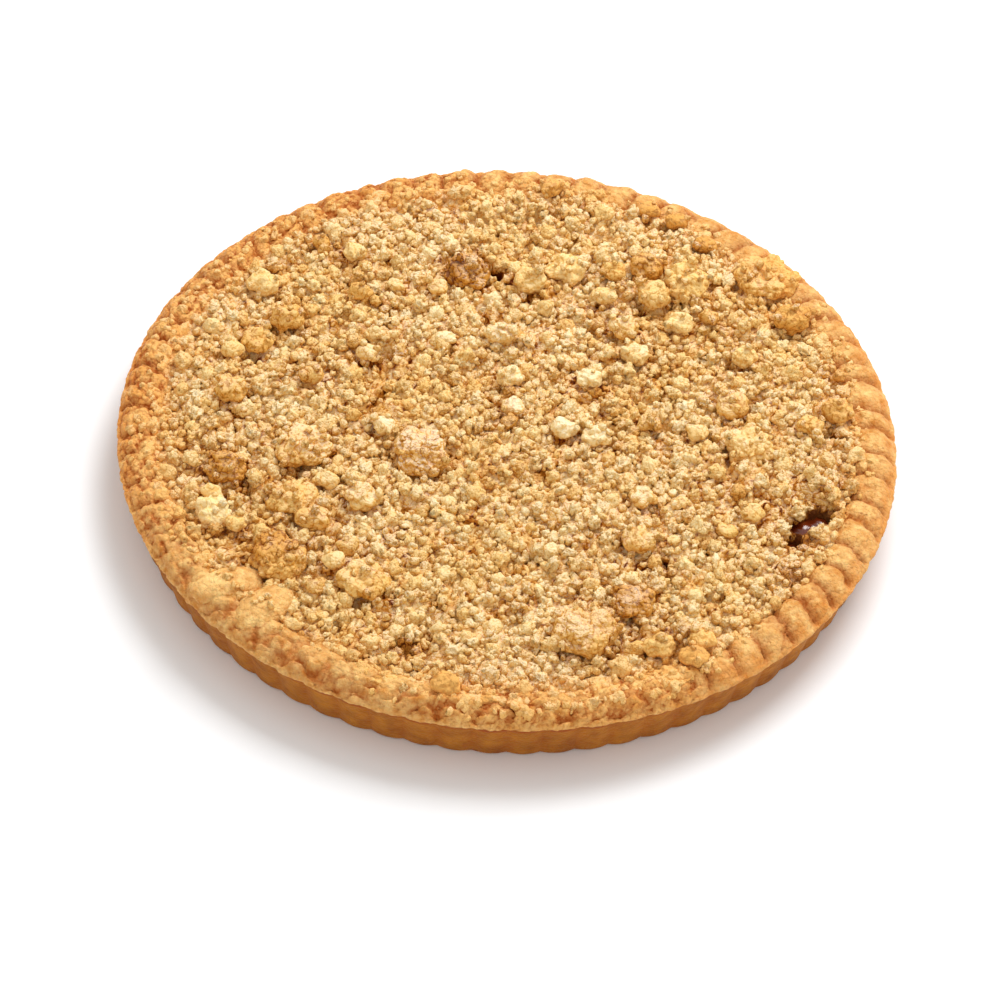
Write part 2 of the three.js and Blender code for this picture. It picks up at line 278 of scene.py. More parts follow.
def ball(subdivisions):
    """A small round mesh that a tree pushes out to a lump's size."""
    work = bmesh.new()
    bmesh.ops.create_icosphere(work, subdivisions=subdivisions, radius=0.01)
    mesh = bpy.data.meshes.new("ball")
    work.to_mesh(mesh)
    work.free()
    return mesh


def merged(name, pieces):
    """One mesh of copies of several pieces' meshes, with their attributes."""
    holders = [bpy.data.objects.new("part", piece.data.copy()) for piece in pieces]
    for holder in holders:
        bpy.context.scene.collection.objects.link(holder)
    with bpy.context.temp_override(active_object=holders[0], selected_editable_objects=holders):
        bpy.ops.object.join()
    mesh = holders[0].data
    mesh.name = name
    bpy.data.objects.remove(holders[0])
    return mesh


def one_piece(name, pieces):
    """Makes several pieces one and removes them."""
    mesh = merged(name, pieces)
    for piece in pieces:
        bpy.data.objects.remove(piece)
    whole = bpy.data.objects.new(name, mesh)
    bpy.context.scene.collection.objects.link(whole)
    return whole


def sine(value):
    """Sine of a number or a field."""
    return value.math("SINE") if isinstance(value, Field) else math.sin(value)


def cosine(value):
    """Cosine of a number or a field."""
    return value.math("COSINE") if isinstance(value, Field) else math.cos(value)


def polar(point):
    """Bearing in degrees, radius and height of a point in mm."""
    x, y, z = split(point)
    bearing = y.math("ARCTAN2", x) * (180 / math.pi)
    radius = (x * x + y * y).math("SQRT")
    return bearing, radius, z


def shell_section():
    """Half section of the shell on the crowns of its flutes, from the axis out, up and back in."""
    corners = [
        (0, 0), (BASE_RADIUS - 1.2, 0), (BASE_RADIUS, 0.8), (131.4, 17.3), (131.9, 17.9), (133.1, 18.3),
        (RIM_RADIUS, 19.1), (133.1, 20.0), (132.0, 20.7), (130.8, 22.0), (128.8, 23.7), (126.0, 24.6),
        (123.0, 24.6), (120.4, 23.9), (118.4, 22.4), (HOLLOW_RADIUS, 20.2), (115.0, FLOOR_THICKNESS + 1),
        (114.0, FLOOR_THICKNESS), (0, FLOOR_THICKNESS),
    ]
    steps = [2, 2, 16, 2, 4, 4, 3, 4, 5, 8, 8, 8, 7, 6, 4, 3, 1, 2]
    points = []
    for start, end, count in zip(corners, corners[1:], steps):
        for i in range(count):
            share = i / count
            radius = start[0] + (end[0] - start[0]) * share
            points.append((radius, start[1] + (end[1] - start[1]) * share))
    return [*points, corners[-1]]


def turned(section, steps):
    """A closed mesh of revolution from a half section that starts and ends on the axis."""
    work = bmesh.new()
    rings = []
    for radius, height in section:
        if radius == 0:
            rings.append([work.verts.new((0, 0, height * MM))])
            continue
        ring = []
        for i in range(steps):
            angle = 2 * math.pi * i / steps
            place = (radius * MM * math.cos(angle), radius * MM * math.sin(angle), height * MM)
            ring.append(work.verts.new(place))
        rings.append(ring)
    for lower, upper in zip(rings, rings[1:]):
        for i in range(steps):
            j = (i + 1) % steps
            if len(lower) == 1:
                work.faces.new((lower[0], upper[j], upper[i]))
            elif len(upper) == 1:
                work.faces.new((lower[i], lower[j], upper[0]))
            else:
                work.faces.new((lower[i], lower[j], upper[j], upper[i]))
    mesh = bpy.data.meshes.new("turned")
    work.to_mesh(mesh)
    work.free()
    return mesh


def crust_tree(material):
    """Presses flutes, lip and lobes into the turned shell and roughens it as baked dough is."""
    tree, given, made, point = geometry_tree("press_crust")
    flutes, flute_depth, crease_depth = add_inputs(
        tree, given, Flutes=FLUTES, Flute_Depth=FLUTE_DEPTH, Crease_Depth=CREASE_DEPTH)
    bearing, radius, height = polar(point)
    x, y, _ = split(point)
    around = join(tree, x / radius * RIM_RADIUS, y / radius * RIM_RADIUS, 0.0)

    # the tin's flutes in the wall
    turn = bearing / 360 * flutes
    wander = cloud(around, 14.0, 1.0)
    step = (turn + 0.10 * wander + 100).math("FRACT")
    cusp = (step * 2 - 1) ** 2
    wall = fade(height, 19.5, 17.0) * fade(radius, 124.0, 126.0)
    lip = fade(height, 17.2, 18.2) * fade(height, 21.5, 20.0) * fade(radius, 127, 130)
    inward = flute_depth * cusp * (wall + 0.2 * lip)

    # the pinched lobes of the rim, each a little different
    leaning = (radius - 125) * 0.018
    uneven = cloud(point, 5.0, 1.0) * 0.16
    side = abs((turn + 0.42 * wander + leaning + uneven + 100).math("FRACT") * 2 - 1)
    crease = side ** 2.6 * 0.6 + side ** 12 * 0.4
    top = fade(height, 18.8, 21.8) * fade(radius, 116.5, 119.0)
    lobe_size = 1 + 0.6 * cloud(around, 10.0, 0.0)
    pinched = crease * top * lobed(bearing) * lobe_size
    inward = inward + pinched * fade(radius, 125.0, 131.0) * 2.0

    # a slow unevenness of the whole rim, stronger along the flaky band
    banded = 1 - lobed(bearing)
    lift = (0.6 + 0.7 * banded) * cloud(point, 16.0, 1.0) * top + 0.7 * cloud(around, 9.0, 0.0) * top

    # the lip's ragged edge, the crumbs and flakes baked onto the rim, and its crumbliness
    seen = fade(radius, 116, 118) * fade(height, 0.2, 1.5)
    crusty = crusted(bearing) * top
    ragged = (0.6 * cloud(point, 4.0, 3.0, 0.6) + 0.6 * (grains(point, 1.9) - 0.7)) * lip
    ragged = ragged * (1 - 0.5 * lobed(bearing)) - 0.3 * lip
    grain = 0.22 * cloud(point, 2.6, 2.0)
    packed = grains(drifted(point, 4.0, 1.0), 2.9)
    stuck = packed - 0.4 + cloud(point, 6.0, 1.0) * 0.6
    plates = grains(drifted(point, 7.0, 2.2), 6.5)
    flaky = (fade(plates, -0.3, 0.45) - 0.6) * 2.0 * banded
    bitty = crusty + (0.4 + 0.4 * banded) * fade(cloud(point, 9.0, 1.0), -0.4, 0.3)
    bitty = bitty.math("MINIMUM", 1.0) * top
    crackle = 1 - abs(cloud(drifted(point, 6.0, 1.5), 7.0, 2.0)) * 3.0
    crackle = crackle.math("MAXIMUM", 0.0) ** 2 * banded * fade(radius, 124, 130)
    rough = 0.7 + 0.2 * banded
    dimple = (cloud(point, 4.0, 2.0) * rough + grain * 1.5 - crackle * 0.8) * seen * top
    outward = (ragged - inward + grain * seen * (wall + lip)) / radius + 1
    rise = (height / LIP_HEIGHT).math("MINIMUM", 1.0)
    slope = y / RIM_RADIUS * RIM_SLOPE * rise
    new_y = y * outward + (1 - rise) * BASE_SHIFT
    new_z = height - pinched * crease_depth + lift - slope + dimple
    new_z = new_z + bitty * stuck + flaky * top + 0.4 * ragged

    # painted shade in the creases, the flutes' hollows, the cracks and the gaps between the bits on it
    between_bits = fade(packed, 0.35, -0.1) * bitty
    between_plates = fade(plates, 0.15, -0.3) * banded * top
    shaded = pinched * 1.2 + 0.4 * cusp * wall + crackle * top * 0.6
    shaded = shaded + between_bits * 0.85 + between_plates * 0.6
    worn = store(tree, given.outputs["Geometry"], "crease", shaded.math("MINIMUM", 1.0))
    pressed = move_to(tree, worn, join(tree, x * outward, new_y, new_z))
    close_tree(tree, pressed, made, material)
    return tree


def new_material(name):
    """A material with its tree, its shader and the surface's point in mm."""
    material = bpy.data.materials.new(name)
    material.use_nodes = True
    tree = material.node_tree
    shader = tree.nodes["Principled BSDF"]
    coordinates = Field(tree, tree.nodes.new("ShaderNodeTexCoord").outputs["Object"])
    return material, tree, shader, vector_math("SCALE", coordinates, factor=1 / MM)


def linear(red, green, blue):
    """A colour seen on a screen as red, green, blue out of 255, as light."""
    shares = [value / 255 for value in (red, green, blue)]
    light = [share / 12.92 if share <= 0.04045 else ((share + 0.055) / 1.055) ** 2.4 for share in shares]
    return (*light, 1.0)


def blend(factor, first, second):
    """Colour mix in the factor's tree; first and second are colours or fields."""
    node = factor.tree.nodes.new("ShaderNodeMix")
    node.data_type = "RGBA"
    node.clamp_factor = True
    plug(factor.tree, factor, node.inputs[0])
    plug(factor.tree, first, node.inputs[6])
    plug(factor.tree, second, node.inputs[7])
    return Field(factor.tree, node.outputs[2])


def attribute(tree, name):
    """A number stored on the mesh, for a shader."""
    node = tree.nodes.new("ShaderNodeAttribute")
    node.attribute_name = name
    return Field(tree, node.outputs["Fac"])


def shader_group(name, inputs, outputs):
    """An empty shader group; inputs are (name, socket type, value) and outputs (name, socket type)."""
    tree = bpy.data.node_groups.new(name, "ShaderNodeTree")
    for label, kind, value in inputs:
        socket = tree.interface.new_socket(name=label, in_out="INPUT", socket_type=kind)
        if value is not None:
            socket.default_value = value
    for label, kind in outputs:
        tree.interface.new_socket(name=label, in_out="OUTPUT", socket_type=kind)
    given = tree.nodes.new("NodeGroupInput")
    made = tree.nodes.new("NodeGroupOutput")
    return tree, {label: Field(tree, given.outputs[label]) for label, _, _ in inputs}, made


def use_group(tree, group, **values):
    """Adds a shader group as one node; values are its inputs."""
    node = tree.nodes.new("ShaderNodeGroup")
    node.node_tree = group
    for key, value in values.items():
        plug(tree, value, node.inputs[key.replace("_", " ")])
    return node


def crumbly_group():
    """Meal baked together: its normal, and a mask of the pits between its grains, for painted shade."""
    tree, given, made = shader_group(
        "crumbly",
        [("Point", "NodeSocketVector", None), ("Size", "NodeSocketFloat", 1.3),
         ("Depth", "NodeSocketFloat", 0.5)],
        [("Normal", "NodeSocketVector"), ("Pit", "NodeSocketFloat")],
    )
    size = given["Size"]
    point = drifted(vector_math("DIVIDE", given["Point"], join(tree, size, size, size)), 1.4, 0.25)
    height = grains(point, 1.0) * 0.62 + grains(point, 0.5) * 0.3 + cloud(point, 0.4, 0.0) * 0.15
    bump = tree.nodes.new("ShaderNodeBump")
    plug(tree, given["Depth"] * MM, bump.inputs["Distance"])
    plug(tree, height, bump.inputs["Height"])
    tree.links.new(bump.outputs[0], made.inputs["Normal"])
    plug(tree, fade(height, 0.40, -0.05), made.inputs["Pit"])
    return tree


CRUMBLY = crumbly_group()


def baked_dough(shader, radius_mm, weight):
    """Lets light a little way into the piece, as butter and flour do."""
    shader.inputs["Subsurface Weight"].default_value = weight
    shader.inputs["Subsurface Radius"].default_value = (1.0, 0.5, 0.2)
    shader.inputs["Subsurface Scale"].default_value = radius_mm * MM


def crust_material():
    """Golden dough, paler on the rim, browner on the wall, with painted shade in every crease and under the
    lip.
    """
    material, tree, shader, point = new_material("baked_shortcrust")
    bearing, radius, height = polar(point)
    level = height + split(point)[1] * (RIM_SLOPE / RIM_RADIUS)
    crease = attribute(tree, "crease")
    patch = cloud(point, 20.0, 2.0)
    fine = cloud(point, 2.6, 3.0, 0.6)
    crusty = crusted(bearing)
    wall = fade(level, 18.3, 17.5) * fade(radius, 120, 126)
    mottle = cloud(point, 5.0, 3.0, 0.6)
    uneven = patch * 0.4 + 0.5 + fine * 0.7 + mottle * 0.7
    golden = blend(uneven, linear(206, 136, 56), linear(246, 206, 134))
    golden = blend(crusty * 0.4, golden, linear(240, 176, 90))
    toasted = fade(radius, 125.5, 131.0) * lobed(bearing) * fade(cloud(point, 7.0, 2.0), -0.5, 0.3)
    golden = blend(toasted * 0.6, golden, linear(218, 134, 50))
    wall_tone = blend(patch * 0.4 + 0.45 + mottle * 0.6, linear(138, 73, 4), linear(200, 129, 36))
    colour = blend(wall, golden, wall_tone)
    # painted shade: a dark line under the lip's overhang, partly toasted dough, strongest along the front
    under_lip = fade(level, 14.2, 15.6) * fade(level, 18.7, 18.1) * fade(radius, 127, 129)
    toast_and_shade = (0.1 + 0.9 * between(bearing, 230, 295, 30)) * fade(mottle + patch, -0.5, 0.4)
    colour = blend(under_lip * toast_and_shade, colour, linear(154, 68, 5))
    meal = use_group(tree, CRUMBLY, Point=point, Size=1.35, Depth=0.32 - 0.1 * wall)
    pit = Field(tree, meal.outputs["Pit"])
    # painted shade in the creases, flutes and cracks, and in the pits of the meal, more where crumbs baked
    # on
    dark = crease * 0.82 + pit * (0.13 + 0.27 * crusty)
    colour = blend(dark.math("MINIMUM", 1.0), colour, linear(170, 86, 18))
    speck = fade(grains(point, 3.2), 0.93, 0.98) * fade(cloud(point, 9.0, 0.0), 0.0, 0.3)
    colour = blend(speck * 0.6, colour, linear(150, 80, 24))
    plug(tree, colour, shader.inputs["Base Color"])
    shader.inputs["Roughness"].default_value = 0.6
    shader.inputs["Specular IOR Level"].default_value = 0.2
    baked_dough(shader, 1.2, 0.15)
    tree.links.new(meal.outputs["Normal"], shader.inputs["Normal"])
    return material


def fold_tree(material):
    """Makes a ball a soft fold of dough of a given size, place and turn."""
    tree, given, made, point = geometry_tree("fold_dough")
    size, middle, turn = add_inputs(tree, given, Size=Vector(), Middle=Vector(), Turn=0.0)
    way = vector_math("NORMALIZE", point)
    swell = 1 + 0.16 * cloud(vector_math("ADD", way, middle), 0.9, 1.0)
    x, y, z = split(vector_math("SCALE", vector_math("MULTIPLY", way, size), factor=swell * 0.5))
    way = join(tree, x * cosine(turn) - y * sine(turn), x * sine(turn) + y * cosine(turn), z)
    folded = move_to(tree, given.outputs["Geometry"], vector_math("ADD", way, middle))
    close_tree(tree, folded, made, material)
    return tree


BAKED = crust_material()
shell = grow("shell", turned(shell_section(), SECTION_STEPS), crust_tree(BAKED))
FOLD_TREE = fold_tree(BAKED)
folds = []
for fold_x, fold_y, width, depth, fold_turn in FOLDS:
    fold_z = CREST_HEIGHT - FOLD_HEIGHT / 2 + FOLD_RISE - fold_y / RIM_RADIUS * RIM_SLOPE
    folds.append(grow("fold", ball(5), FOLD_TREE, Size=Vector((width, depth, FOLD_HEIGHT)),
                      Middle=Vector((fold_x, fold_y, fold_z)), Turn=math.radians(fold_turn)))
crust = one_piece("shortcrust", [shell, *folds])
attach(crust, "root")
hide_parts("crust")

# ---------------------------------------------------------------------------------------------
# Apple filling. Diced apple cooked down in dark cinnamon syrup, under all of the crumb. It shows
# only in the gap at the right, where soft dice glisten at the bottom of a hole in the crumb.
# ---------------------------------------------------------------------------------------------
FILLING_HEIGHT = 16.5
FILLING_RADIUS = 116.0
FILLING_BOTTOM = 4.85        # just above the shell's floor
DICE_SIZE = 8.0
APPLE_DICE = [(101.0, -31.5, 6.5, 2.2), (108.0, -28.5, 5.5, 1.6)]   # that show: x, y, size, rise


def filling_tree(material):
    """Makes the top of the flat layer lumpy with soft dice of apple."""
    tree, given, made, point = geometry_tree("cook_filling")
    dice, = add_inputs(tree, given, Dice=DICE_SIZE)
    x, y, z = split(point)
    flat = join(tree, x / dice, y / dice, 0.0)
    inside = fade(z, FILLING_HEIGHT - 1.0, FILLING_HEIGHT - 0.2)
    lumps = grains(flat, 1.0) * 1.1 + cloud(point, 3.0, 2.0) * 0.35
    for dice_x, dice_y, size, rise in APPLE_DICE:
        away = ((x - dice_x) ** 2 + (y - dice_y) ** 2).math("SQRT")
        lumps = lumps + fade(away, size * 0.6, size * 0.25) * rise
    lifted = join(tree, x, y, z + (lumps - 0.6) * inside)
    close_tree(tree, move_to(tree, given.outputs["Geometry"], lifted), made, material)
    return tree


def filling_material():
    """Apple in dark syrup, glossy and a little uneven."""
    material, tree, shader, point = new_material("apple_in_syrup")
    amount = cloud(point, 6.0, 3.0, 0.6) * 0.5 + 0.5
    plug(tree, blend(amount, linear(66, 12, 5), linear(146, 58, 20)), shader.inputs["Base Color"])
    shader.inputs["Roughness"].default_value = 0.16
    shader.inputs["Coat Weight"].default_value = 0.6
    shader.inputs["Coat Roughness"].default_value = 0.08
    bump = tree.nodes.new("ShaderNodeBump")
    bump.inputs["Distance"].default_value = 0.12 * MM
    plug(tree, cloud(point, 1.4, 2.0), bump.inputs["Height"])
    tree.links.new(bump.outputs[0], shader.inputs["Normal"])
    return material


def filling_section():
    """Half section of the filling, from the axis out, up and back in."""
    steps = 60
    outer = [(0, FILLING_BOTTOM), (114.0, FILLING_BOTTOM), (FILLING_RADIUS, FILLING_HEIGHT - 1.5)]
    top = [(FILLING_RADIUS * (1 - i / steps), FILLING_HEIGHT) for i in range(steps)]
    return [*outer, *top, (0, FILLING_HEIGHT)]


filling = grow("apple_filling", turned(filling_section(), 360), filling_tree(filling_material()))
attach(filling, "root")
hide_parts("filling")

# ---------------------------------------------------------------------------------------------
# Crumb topping, the bed. Flour, butter and sugar rubbed to crumbs, strewn over the apple and
# baked together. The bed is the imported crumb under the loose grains: a fine sheet in two halves
# that Geometry Nodes shape into clusters and grains, up to its uneven edge on the rim.
# ---------------------------------------------------------------------------------------------
TOPPING_HEIGHT = 24.4
TOPPING_DOME = 1.6
TOPPING_SWELL = 0.9
BED_SINK = 1.1               # the loose grains on top make this up again
BED_STEP = 0.50              # mesh size of the bed
BED_HALF_WIDTH = 132
BED_BOTTOM = 14.0            # hidden in the filling
GAP = (104, -31.5, 20, 11, 28)   # the hole: x, y, length, width, turn
GAP_DEPTH = 9
PITS = [                     # small deep holes between the crumbs: x, y, size, depth
    (56.5, -65, 4.5, 7), (54.5, -58, 3.5, 6), (111, 6, 6, 6), (-8, 76, 6, 7), (98, -41, 6, 8),
]
STAINS = [                   # where syrup boiled up through the crumb: x, y, size
    (98, -59, 10), (116, -14, 8), (103, -75, 7), (89, -88, 7), (103, -43, 9), (-64, -102, 12),
    (-30, -103, 10),
]


def topping_level(x, y):
    """Level of the crumb without its grains, for numbers or fields."""
    far = (x * x + y * y) / HOLLOW_RADIUS ** 2
    swell = sine(x / 17 + 1.3) * cosine(y / 21 - 0.4)
    swell = swell + 0.7 * sine((x + y) / 11) * sine((x - y) / 14)
    return (1 - far) * TOPPING_DOME + TOPPING_HEIGHT + swell * TOPPING_SWELL - y * (RIM_SLOPE / RIM_RADIUS)


def topping_reach(bearing):
    """How far out the crumb goes, in mm."""
    front = 8.5 * between(bearing, 252, 306, 14)
    left = 3.5 * between(bearing, 150, 200, 20)
    back = 3.0 * between(bearing, 60, 120, 20)
    turn = bearing * (math.pi / 180)
    wander = 1.2 * sine(turn * 13 + 1) + 1.0 * sine(turn * 29) + 0.8 * sine(turn * 47 + 2)
    return (HOLLOW_RADIUS + 1 + front + left + back + wander).math("MAXIMUM", HOLLOW_RADIUS + 0.5)


def rim_level(radius, y):
    """Level of the rim under the crumb that lies on it."""
    rise = ((radius - (RIM_RADIUS - 15.2)) / 5).math("MAXIMUM", 0.0).math("MINIMUM", 1.0)
    fall = ((radius - (RIM_RADIUS - 10.2)) / 6).math("MAXIMUM", 0.0).math("MINIMUM", 1.0)
    return CREST_HEIGHT - 2.2 + 2.2 * rise - 0.8 * fall - y * (RIM_SLOPE / RIM_RADIUS)


def hollows(x, y, point):
    """Depth of the hole and the pits in mm, with uneven edges."""
    gap_x, gap_y, length, width, degrees = GAP
    turn = math.radians(degrees)
    along = ((x - gap_x) * math.cos(turn) + (y - gap_y) * math.sin(turn)) / (length / 2)
    across = ((y - gap_y) * math.cos(turn) - (x - gap_x) * math.sin(turn)) / (width / 2)
    reach = (along * along + across * across).math("SQRT") + 0.5 * cloud(point, 5.0, 3.0, 0.6)
    depth = fade(reach, 1.16, 0.66) * GAP_DEPTH
    for pit_x, pit_y, size, pit_depth in PITS:
        away = ((x - pit_x) ** 2 + (y - pit_y) ** 2).math("SQRT") + 0.8 * cloud(point, 2.5, 1.0)
        depth = depth + fade(away, size / 2 + 0.5, size / 2 - 1) * pit_depth
    return depth


def bed_tree(material):
    """Cuts a flat grid to one half of the bed, shapes it and stores its tone for the shader."""
    tree, given, made, point = geometry_tree("strew_bed")
    cluster, grain, side = add_inputs(tree, given, Cluster_Height=2.6, Grain_Height=1.25, Side=1.0)
    x, y, _ = split(point)
    bearing, radius, _ = polar(point)
    reach = topping_reach(bearing)
    outside = radius.math("SUBTRACT", reach)

    cut = chain(tree, given.outputs["Geometry"], "GeometryNodeDeleteGeometry", domain="POINT")
    beyond = outside.math("GREATER_THAN", BED_STEP * 0.75)
    other_half = (x * side).math("LESS_THAN", -0.1)
    plug(tree, beyond.math("MAXIMUM", other_half), cut.inputs["Selection"])

    warp = drifted(point, 9.0, 2.6)
    relief = cluster * (grains(warp, 7.5) - 0.45) + 0.5 * cluster * cloud(warp, 12.0, 1.0)
    popped = grains(drifted(point, 2.4, 1.1), 2.9)
    relief = relief + 0.7 * grain * (grains(warp, 4.4) - 0.4)
    depth = hollows(x, y, point)
    calm = fade(depth, 0.8, 3.0, 1.0, 0.3)
    bumps = (relief + grain * (popped - 0.5)) * calm
    level = topping_level(x, y) - BED_SINK + bumps
    on_rim = rim_level(radius, y) + 0.3 + 0.4 * bumps
    over_rim = fade(radius, HOLLOW_RADIUS - 1, HOLLOW_RADIUS + 1)
    level = level + (on_rim - level).math("MAXIMUM", 0.0) * over_rim - depth
    squeeze = 1 - (outside / radius).math("MAXIMUM", 0.0)
    sheet = move_to(tree, cut.outputs[0], join(tree, x * squeeze, y * squeeze, level))

    # what the shader and the scattering need: tone, painted shade in the gaps between the grains, and where
    # grains lie
    mood = 0.66 + 0.06 * cloud(point, 6.0, 1.0) + 0.09 * cloud(point, 28.0, 1.0)
    # painted shade: darker low between the clusters, a little paler on their tops
    mood = mood + fade(relief, -1.8, 0.0, -0.12, 0.0) + fade(relief, 0.0, 1.6, 0.0, 0.05)
    for stain_x, stain_y, size in STAINS:
        away = ((x - stain_x) ** 2 + (y - stain_y) ** 2).math("SQRT") + 1.5 * cloud(point, 4.0, 1.0)
        mood = mood - fade(away, size / 2 + 1, size / 2 - 2) * 0.3
    gap_shade = fade(popped, 0.35, -0.1) * fade(relief, 1.5, -0.5, 0.5, 1.0) * calm
    strewn = fade(relief, -1.8, -0.4, 0.4, 1.0) * fade(depth, 3.4, 1.2)
    sheet = store(tree, sheet, "tone", mood * fade(depth, 0.6, 2.4, 1.0, 0.08))
    sheet = store(tree, sheet, "gap_shade", gap_shade)
    sheet = store(tree, sheet, "strewn", strewn)
    close_tree(tree, sheet, made, material)
    return tree


def flat_grid(half_width, step):
    """A flat square mesh, both sizes in mm."""
    count = int(2 * half_width / step)
    work = bmesh.new()
    bmesh.ops.create_grid(work, x_segments=count, y_segments=count, size=half_width * MM)
    mesh = bpy.data.meshes.new("flat")
    work.to_mesh(mesh)
    work.free()
    return mesh


def close_under(piece, bottom):
    """Skirts an open sheet down to a level and closes it underneath. The new faces always come in
    the same order, because the grains strewn on them depend on it."""
    work = bmesh.new()
    work.from_mesh(piece.data)
    corners = [edge.link_loops[0] for edge in work.edges if edge.is_boundary]
    corners = [(loop.link_loop_next.vert, loop.vert) for loop in corners]
    below = {}
    for vert in (vert for pair in corners for vert in pair):
        if vert not in below:
            below[vert] = work.verts.new((vert.co.x, vert.co.y, bottom * MM), vert)
    for first, second in corners:
        work.faces.new((first, second, below[second], below[first]))
    loop = [work.edges.get((below[first], below[second])) for first, second in corners]
    bmesh.ops.holes_fill(work, edges=loop, sides=0)
    bmesh.ops.recalc_face_normals(work, faces=work.faces)
    work.to_mesh(piece.data)
    work.free()


def crumb_group():
    """Colour of baked crumb by its tone (0 soaked in syrup, 1 palest), place, normal and pits,
    darker in the pits as painted shade, with a dusting of sugar where it faces up that is partly
    a painted highlight on the tops."""
    tree, given, made = shader_group(
        "crumb_tone",
        [("Point", "NodeSocketVector", None), ("Normal", "NodeSocketVector", None),
         ("Tone", "NodeSocketFloat", 0.5), ("Dust", "NodeSocketFloat", 0.3),
         ("Pit", "NodeSocketFloat", 0.0)],
        [("Color", "NodeSocketColor")],
    )
    point = given["Point"]
    bearing, radius, _ = polar(point)
    ramp = tree.nodes.new("ShaderNodeValToRGB")
    stops = [(0.0, (96, 38, 8)), (0.15, (156, 88, 14)), (0.35, (214, 149, 56)), (0.55, (241, 195, 112)),
             (0.75, (251, 220, 154)), (1.0, (255, 240, 196))]
    while len(ramp.color_ramp.elements) < len(stops):
        ramp.color_ramp.elements.new(0.5)
    for element, (position, colour) in zip(ramp.color_ramp.elements, stops):
        element.position = position
        element.color = linear(*colour)
    # painted shade: the tone is darker in the pits between the grains
    plug(tree, given["Tone"] - given["Pit"] * 0.2, ramp.inputs[0])
    colour = Field(tree, ramp.outputs["Color"])
    on_rim = fade(radius, 114.0, 121.0)
    baked = fade(radius, 100.0, 122.0) * 0.25 + on_rim * (0.25 + 0.25 * crusted(bearing))
    colour = blend(baked, colour, linear(245, 186, 106))
    # sugar dusted on what faces up, also a painted highlight on the tops, patchy and none on dark tones
    up = split(given["Normal"])[2]
    drift = cloud(point, 6.0, 0.0) + 0.7 * cloud(point, 34.0, 0.0) + given["Dust"]
    dust_and_highlight_mask = fade(up, 0.5, 0.95) * given["Dust"] * fade(drift, -0.2, 1.0, 0.3, 1.1)
    dust_and_highlight_mask = dust_and_highlight_mask * fade(given["Tone"], 0.2, 0.42)
    colour = blend(dust_and_highlight_mask * (1 - 0.55 * on_rim) * 0.8, colour, linear(255, 246, 228))
    plug(tree, colour, made.inputs["Color"])
    return tree


CRUMB_TONE = crumb_group()


def crumb_material(name, size, depth, dust_and_highlight=None, gap_shade=0.0):
    """Baked crumb with grains size mm across and depth mm deep. Its tone is an attribute of the
    mesh, and so is its dusting, partly a painted highlight, unless that is given; a given share
    of the painted shade stored between the grains darkens it."""
    material, tree, shader, point = new_material(name)
    meal = use_group(tree, CRUMBLY, Point=point, Size=size, Depth=depth)
    normal = Field(tree, meal.outputs["Normal"])
    pit = Field(tree, meal.outputs["Pit"])
    if dust_and_highlight is None:
        dust_and_highlight = attribute(tree, "dust_and_highlight")
    tone = attribute(tree, "tone")
    # painted shade: darker between the grains by a share of the stored mask
    if gap_shade:
        tone = tone - gap_shade * attribute(tree, "gap_shade")
    look = use_group(tree, CRUMB_TONE, Point=point, Normal=normal, Tone=tone, Dust=dust_and_highlight, Pit=pit)
    tree.links.new(look.outputs["Color"], shader.inputs["Base Color"])
    plug(tree, normal, shader.inputs["Normal"])
    shader.inputs["Roughness"].default_value = 0.8
    shader.inputs["Specular IOR Level"].default_value = 0.12
    return material


BED_TREE = bed_tree(crumb_material("packed_crumb", 1.3, 0.35, dust_and_highlight=0.45, gap_shade=0.35))
bed = []
for name, side in (("crumb_bed_left", -1.0), ("crumb_bed_right", 1.0)):
    half = grow(name, flat_grid(BED_HALF_WIDTH, BED_STEP), BED_TREE, Side=side)
    close_under(half, BED_BOTTOM)
    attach(half, "root")
    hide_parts("crumb_topping")
    bed.append(half)

